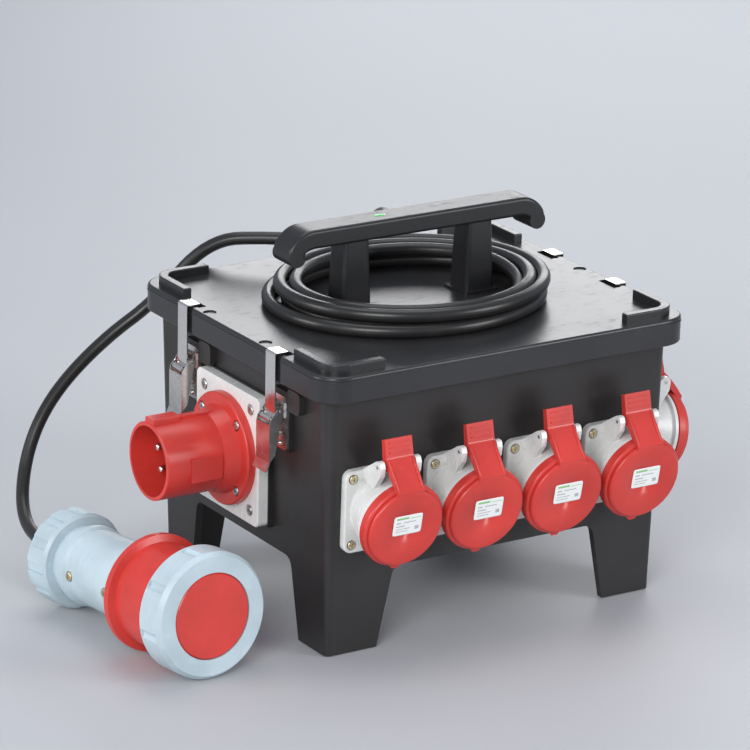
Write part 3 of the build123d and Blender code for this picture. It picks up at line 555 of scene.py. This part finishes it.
# %% Raised faces and arm ribs
FACE_BACK, FACE_FRONT, FACE_RADIUS, FACE_ROUND = 0.0425, 0.0472, 0.0362, 0.0026
RIB_TOP, RIB_END = (0.0315, 0.0540), (0.0520, 0.0297)     # outward and up, on the arm's slope
RIB_ACROSS, RIB_RADIUS = 0.0118, 0.0016


def face_outline(samples=9):
    """Reach and radius round the face's section: the edge is a quarter circle of FACE_ROUND."""
    turn = np.linspace(0, np.pi / 2, samples)
    reach = FACE_FRONT - FACE_ROUND * (1 - np.cos(turn))
    radius = FACE_RADIUS - FACE_ROUND * (1 - np.sin(turn))
    nearly_axis = 0.0002
    return (np.concatenate([[FACE_FRONT], reach, [FACE_BACK, FACE_BACK]]),
            np.concatenate([[nearly_axis], radius, [FACE_RADIUS, nearly_axis]]))


def raised_face(k):
    """Round face on socket lid k."""
    middle, across, outward, up = lid_frame(k)
    return turned_ring(f"lid_face_{k}", middle, outward, *face_outline(), segments=96)


def arm_rib(k, side, samples=33, segments=16):
    """Rod along one side of arm k: radius = RIB_RADIUS * sin(pi * s) ** 0.4, s from 0 to 1."""
    origin, across, outward, up = socket_frame(k)
    s = np.linspace(0.002, 0.998, samples)[:, None, None]
    (out_a, up_a), (out_b, up_b) = RIB_TOP, RIB_END
    spread = RIB_ACROSS * side
    path = (origin + spread * across + (out_a + (out_b - out_a) * s) * outward
            + (up_a + (up_b - up_a) * s) * up)
    turn = np.linspace(0, 2 * np.pi, segments, endpoint=False)[None, :, None]
    face = (up * (out_b - out_a) - outward * (up_b - up_a)) / math.hypot(out_b - out_a, up_b - up_a)
    points = path + RIB_RADIUS * np.sin(np.pi * s) ** 0.4 * (np.cos(turn) * across + np.sin(turn) * face)
    return grid_mesh(f"arm_rib_{k}_{'left' if side < 0 else 'right'}", points, closed_columns=True)


lid_pieces = {k: [raised_face(k), arm_rib(k, -1), arm_rib(k, 1)] for k in SOCKETS}
for k, pieces in lid_pieces.items():
    slot = slot_of[f"socket_lid_{k}"]
    for piece in pieces:
        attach(piece, f"socket_lid_{k}")
        piece.data.materials.append(finishes[slot])
print(sum(map(len, lid_pieces.values())), "pieces on the lids")

# %% [markdown]
# ## Labels on the socket lids
# Each lid carries a small printed label. It is a thin sheet with rounded corners: a square grid
# whose corners are pulled in, with a UV map so that the print follows the sheet whichever way
# the lid faces. The print is generic: a coloured band and a few grey bars, no lettering.

# %% Build the labels
LABEL_WIDTH, LABEL_HEIGHT, LABEL_LIFT, LABEL_THICKNESS = 0.0285, 0.0190, 0.00008, 0.00018
LABEL_RISE = 0.0045              # the label's middle above the lid's middle


def rounded_sheet(rows, columns, corner=0.05):
    """Square from -1 to 1 whose corners are pulled in by corner * (x * y) ** 8."""
    y, x = np.meshgrid(np.linspace(-1, 1, rows), np.linspace(-1, 1, columns), indexing="ij")
    pull = 1 - corner * (x * y) ** 8
    return x * pull, y * pull


def label(k):
    """Printed sheet on socket lid k."""
    middle, across, outward, up = lid_frame(k)
    x, y = rounded_sheet(25, 33)
    base = middle + LABEL_RISE * up + (FACE_FRONT + LABEL_LIFT) * outward
    points = (base + x[..., None] * across * LABEL_WIDTH / 2 + y[..., None] * up * LABEL_HEIGHT / 2)
    sheet = grid_mesh(f"lid_label_{k}", points[:, ::-1])
    uv = sheet.data.uv_layers.new(name="print")
    corner_index = np.zeros(len(sheet.data.loops), int)
    sheet.data.loops.foreach_get("vertex_index", corner_index)
    flat = np.stack([(x[:, ::-1].ravel() + 1) / 2, (y.ravel() + 1) / 2], axis=1)
    uv.data.foreach_set("uv", flat[corner_index].ravel())
    thick = sheet.modifiers.new("thickness", "SOLIDIFY")
    thick.thickness, thick.offset = LABEL_THICKNESS, 1
    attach(sheet, f"socket_lid_{k}")
    return sheet


labels = [label(k) for k in range(1, 7)]
print(len(labels), "labels")

# %% [markdown]
# The print is drawn with comparisons: a rectangle is one where two coordinates are inside their
# limits, and several rectangles are added up into a mask.

# %% Label finish
paper, leaf, ink = (0.86, 0.87, 0.85), (0.16, 0.52, 0.10), (0.12, 0.12, 0.14)
print_finish = Finish("label_print", paper, roughness=0.35)
uv_place = print_finish.add("ShaderNodeUVMap", {"uv_map": "print"})
split = print_finish.add("ShaderNodeSeparateXYZ", None, {"Vector": uv_place})
uv_x, uv_y = (Wire(print_finish, split.socket.node.outputs[k]) for k in (0, 1))


def bar(left, right, low, high):
    """Mask of one printed rectangle, in shares of the label's width and height."""
    return (uv_x > left) * (uv_x < right) * (uv_y > low) * (uv_y < high)


band = bar(0.10, 0.52, 0.80, 0.90) + bar(0.56, 0.94, 0.80, 0.83)
rows_of_ink = (bar(0.10, 0.26, 0.60, 0.67) + bar(0.34, 0.78, 0.61, 0.66) + bar(0.10, 0.40, 0.44, 0.50)
               + bar(0.10, 0.58, 0.30, 0.34) + bar(0.10, 0.52, 0.17, 0.21) + bar(0.76, 0.90, 0.20, 0.38))
mottled = print_finish.noise(0.002, 2)
printed = print_finish.blend(rows_of_ink * (0.45 + 0.2 * mottled), paper, ink)
print_finish.put("Base Color", print_finish.blend(band * 0.85, printed, leaf))
print_finish.put("Roughness", 0.3 + 0.12 * mottled)
for sheet in labels:
    sheet.data.materials.append(print_finish.material)
print("labels printed")

# %% [markdown]
# ## The green dot on the handle
# A small glued-in badge sits on top of the grip. It is a shallow dome: height falls with the
# square of the distance from its middle, and a rim closes it down to the grip.

# %% Badge
handle_low, handle_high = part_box("handle")
BADGE_X, BADGE_LENGTH, BADGE_WIDTH, BADGE_HEIGHT = -0.036, 0.0060, 0.0028, 0.0007
RIM_LIFT, SUNK, INNERMOST = 0.0001, -0.0002, 0.02


def dome(name, centre, length, width, height, rings=8, segments=40):
    """Oval dome: height * (1 - r ** 2), r from 0 in the middle to 1 at the rim, with the
    underside closed by a flat copy."""
    share = np.concatenate([np.linspace(INNERMOST, 1, rings), np.linspace(1, INNERMOST, rings)])
    lift = np.concatenate([height * (1 - share[:rings] ** 2) + RIM_LIFT, np.full(rings, SUNK)])
    angle = np.linspace(0, 2 * np.pi, segments, endpoint=False)
    x = share[:, None] * np.cos(angle) * length
    y = share[:, None] * np.sin(angle) * width
    points = np.stack([x, y, np.broadcast_to(lift[:, None], x.shape)], axis=2) + np.array(centre)
    return grid_mesh(name, points, closed_rows=True, closed_columns=True)


badge = dome("handle_badge", (tub_middle.x + BADGE_X, tub_middle.y, handle_high.z), BADGE_LENGTH,
             BADGE_WIDTH, BADGE_HEIGHT)
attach(badge, "box")
green = Finish("badge_green", (0.10, 0.62, 0.14), roughness=0.2, coat_weight=0.5)
green_tone = green.noise(0.002, 2)
green.put("Base Color", green.blend(green_tone, (0.07, 0.50, 0.10), (0.14, 0.70, 0.18)))
badge.data.materials.append(green.material)
print("badge on the grip at z =", round(handle_high.z, 4))

# %% [markdown]
# ## Floor and light
# The box stands on a plain pale floor. Large soft lamps do the work of a studio: a wide one low
# behind the box is mirrored in the lid as a long sheen, one overhead lights the coil, two in
# front keep the sockets bright, and one at the left fills the inlet end. The world adds a
# little light from everywhere.

# %% Floor
FLOOR_HALF, FLOOR_HEIGHT = 14.0, -0.001
corner = np.array([-FLOOR_HALF, FLOOR_HALF])
floor_x, floor_y = np.meshgrid(corner, corner, indexing="ij")
floor_points = np.stack([floor_x, floor_y, np.full((2, 2), FLOOR_HEIGHT)], axis=2)
floor = grid_mesh("floor", floor_points, smooth=False)
ground = Finish("floor_paint", (0.50, 0.51, 0.53), roughness=0.6)
tone = ground.noise(0.8, 2)
ground.put("Base Color", ground.blend(tone, (0.48, 0.49, 0.51), (0.52, 0.53, 0.55)))
floor.data.materials.append(ground.material)
print("floor laid")


# %% Lights
def soft_lamp(name, place, size, watts, color=(1, 1, 1), size_y=None):
    """Rectangular area lamp at a place (relative to the tub's middle) that looks at the box."""
    lamp = bpy.data.lights.new(name, "AREA")
    lamp.energy, lamp.color = watts, color
    lamp.shape, lamp.size, lamp.size_y = "RECTANGLE", size, size_y or size
    holder = bpy.data.objects.new(name, lamp)
    where = tub_middle + Vector(place)
    look = (tub_middle + Vector((0, 0, 0.15))) - where
    holder.matrix_world = Matrix.Translation(where) @ look.to_track_quat("-Z", "Y").to_matrix().to_4x4()
    bpy.context.scene.collection.objects.link(holder)
    return holder


soft_lamp("sheen_back", (1.75, 2.1, 1.10), 1.7, 21, size_y=0.9)
soft_lamp("overhead", (0.2, 0.4, 2.3), 1.5, 15)
soft_lamp("front_left", (-2.2, -2.0, 1.5), 1.4, 54)
soft_lamp("front_right", (1.7, -2.4, 1.1), 1.2, 34)
soft_lamp("left_fill", (-2.6, 0.6, 0.9), 1.0, 22)
world = bpy.data.worlds.new("studio")
world.use_nodes = True
background = world.node_tree.nodes["Background"]
background.inputs["Color"].default_value = (0.80, 0.86, 1.0, 1)
background.inputs["Strength"].default_value = 0.45
bpy.context.scene.world = world
bpy.context.scene.view_settings.view_transform = "Standard"
print("studio lit")
